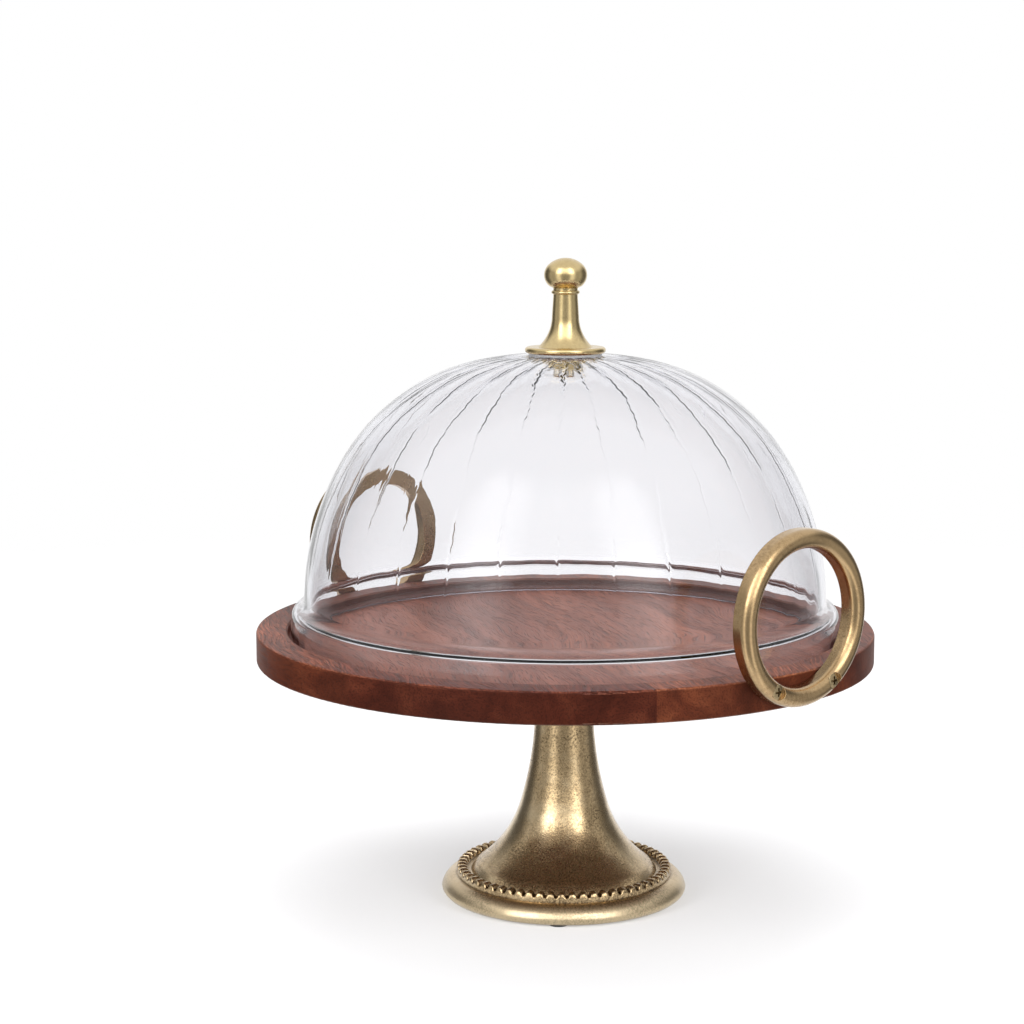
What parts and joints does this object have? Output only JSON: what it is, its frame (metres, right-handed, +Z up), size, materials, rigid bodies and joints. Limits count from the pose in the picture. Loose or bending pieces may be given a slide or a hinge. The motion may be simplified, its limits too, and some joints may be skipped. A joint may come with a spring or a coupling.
{
  "type": "cake stand with dome",
  "caption": "Round wooden tray with a recess and two upright brass ring handles on a flared, beaded pedestal, under a lift-off ribbed glass dome with a brass ball knob.",
  "frame": {"origin": "under the centre of the foot, on the plane that its pads rest on", "axes": "+Z up through the pedestal and the dome's knob; +X across the tray towards the right-hand ring handle"},
  "size_m": [0.3226, 0.305, 0.318],
  "materials": {
    "antique_brass": "cast, with a dark granular patina in the hollows and rubbed-bright edges",
    "satin_brass": "satin brushed, slightly aged",
    "polished_brass": "polished",
    "screw_brass": "plated, dull",
    "screw_steel": "zinc plated",
    "tray_wood": "reddish-brown stain under a thin satin lacquer, open pores",
    "dome_glass": "clear blown glass with soft vertical ribs",
    "gasket_rubber": "translucent silicone",
    "pad_rubber": "matt"
  },
  "bodies": {
    "stand": {"pedestal": "antique_brass", "foot_pad_1": "pad_rubber", "foot_pad_2": "pad_rubber", "foot_pad_3": "pad_rubber", "foot_pad_4": "pad_rubber", "pedestal_screws": "screw_steel", "tray_plank_front_edge": "tray_wood", "tray_plank_front": "tray_wood", "tray_plank_back": "tray_wood", "tray_plank_back_edge": "tray_wood", "right_handle": "satin_brass", "right_handle_screws": "screw_brass", "left_handle": "satin_brass", "left_handle_screws": "screw_brass"},
    "dome": {"glass_dome": "dome_glass", "knob": "polished_brass", "knob_gasket": "gasket_rubber", "inner_gasket": "gasket_rubber", "inner_washer": "screw_brass", "lock_washer": "screw_steel", "knob_screw": "screw_steel"}
  },
  "joints": [
    {"name": "dome_lift", "type": "slide", "parent": "stand", "child": "dome", "axis": [0, 0, 1], "range_m": [0, 0.15]}
  ]
}
